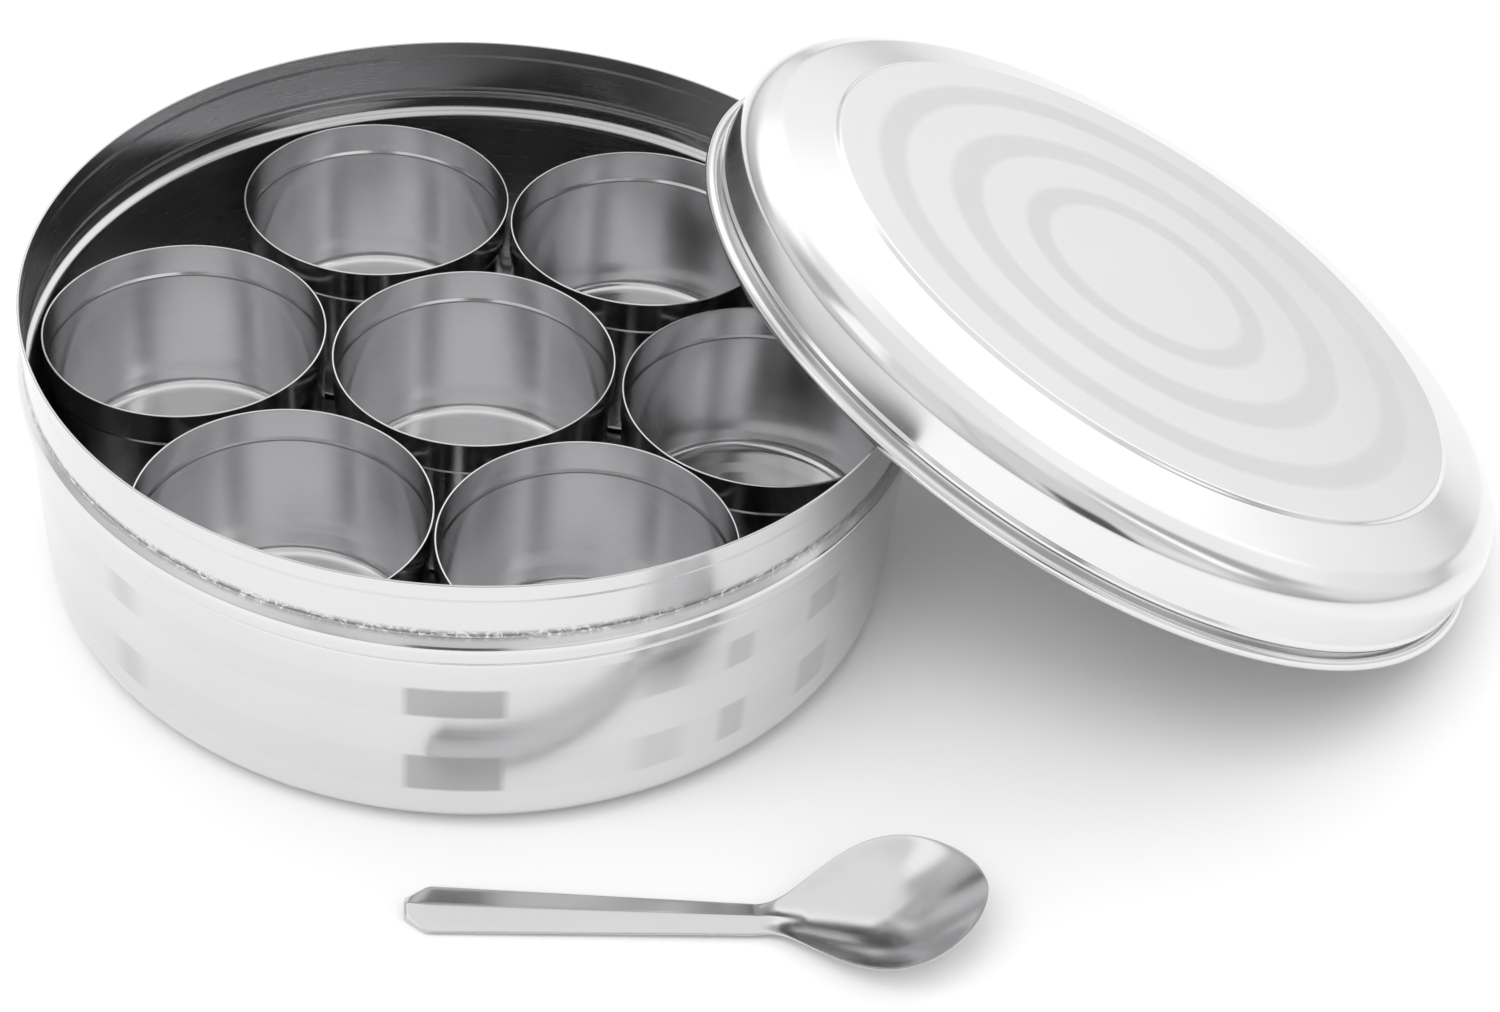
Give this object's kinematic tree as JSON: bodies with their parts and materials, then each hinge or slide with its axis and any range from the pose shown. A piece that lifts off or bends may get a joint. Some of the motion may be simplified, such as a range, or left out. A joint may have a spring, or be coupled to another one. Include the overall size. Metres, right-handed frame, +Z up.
{
  "type": "spice box",
  "caption": "Round stainless steel spice box with loose round cups inside, a domed lid leaning on its rim and a pressed spoon lying in front.",
  "frame": {"origin": "centre of the box's foot, on the surface that the box stands on", "axes": "+Z up along the box's axis, +X from the box towards the lid that leans on its rim, -Y towards the spoon"},
  "size_m": [0.3474, 0.2549, 0.0976],
  "materials": {
    "box_steel": "polished with satin bands",
    "cup_steel": "bright drawn",
    "lid_steel": "polished with satin rings",
    "spoon_steel": "polished"
  },
  "bodies": {
    "box": {"box": "box_steel"},
    "cup_centre": {"cup_centre": "cup_steel"},
    "cup_right": {"cup_right": "cup_steel"},
    "cup_back_right": {"cup_back_right": "cup_steel"},
    "cup_back_left": {"cup_back_left": "cup_steel"},
    "cup_left": {"cup_left": "cup_steel"},
    "cup_front_left": {"cup_front_left": "cup_steel"},
    "cup_front_right": {"cup_front_right": "cup_steel"},
    "lid": {"lid": "lid_steel"},
    "spoon": {"spoon": "spoon_steel"}
  },
  "joints": [
    {"name": "lid_lift", "type": "slide", "parent": "box", "child": "lid", "axis": [0, 0, 1], "range_m": [0, 0.15]},
    {"name": "cup_centre_lift", "type": "slide", "parent": "box", "child": "cup_centre", "axis": [0, 0, 1], "range_m": [0, 0.06]},
    {"name": "cup_right_lift", "type": "slide", "parent": "box", "child": "cup_right", "axis": [0, 0, 1], "range_m": [0, 0.02]},
    {"name": "cup_back_right_lift", "type": "slide", "parent": "box", "child": "cup_back_right", "axis": [0, 0, 1], "range_m": [0, 0.018]},
    {"name": "cup_back_left_lift", "type": "slide", "parent": "box", "child": "cup_back_left", "axis": [0, 0, 1], "range_m": [0, 0.06]},
    {"name": "cup_left_lift", "type": "slide", "parent": "box", "child": "cup_left", "axis": [0, 0, 1], "range_m": [0, 0.06]},
    {"name": "cup_front_left_lift", "type": "slide", "parent": "box", "child": "cup_front_left", "axis": [0, 0, 1], "range_m": [0, 0.06]},
    {"name": "cup_front_right_lift", "type": "slide", "parent": "box", "child": "cup_front_right", "axis": [0, 0, 1], "range_m": [0, 0.06]},
    {"name": "spoon_lift", "type": "slide", "parent": "box", "child": "spoon", "axis": [0, 0, 1], "range_m": [0, 0.06]}
  ]
}
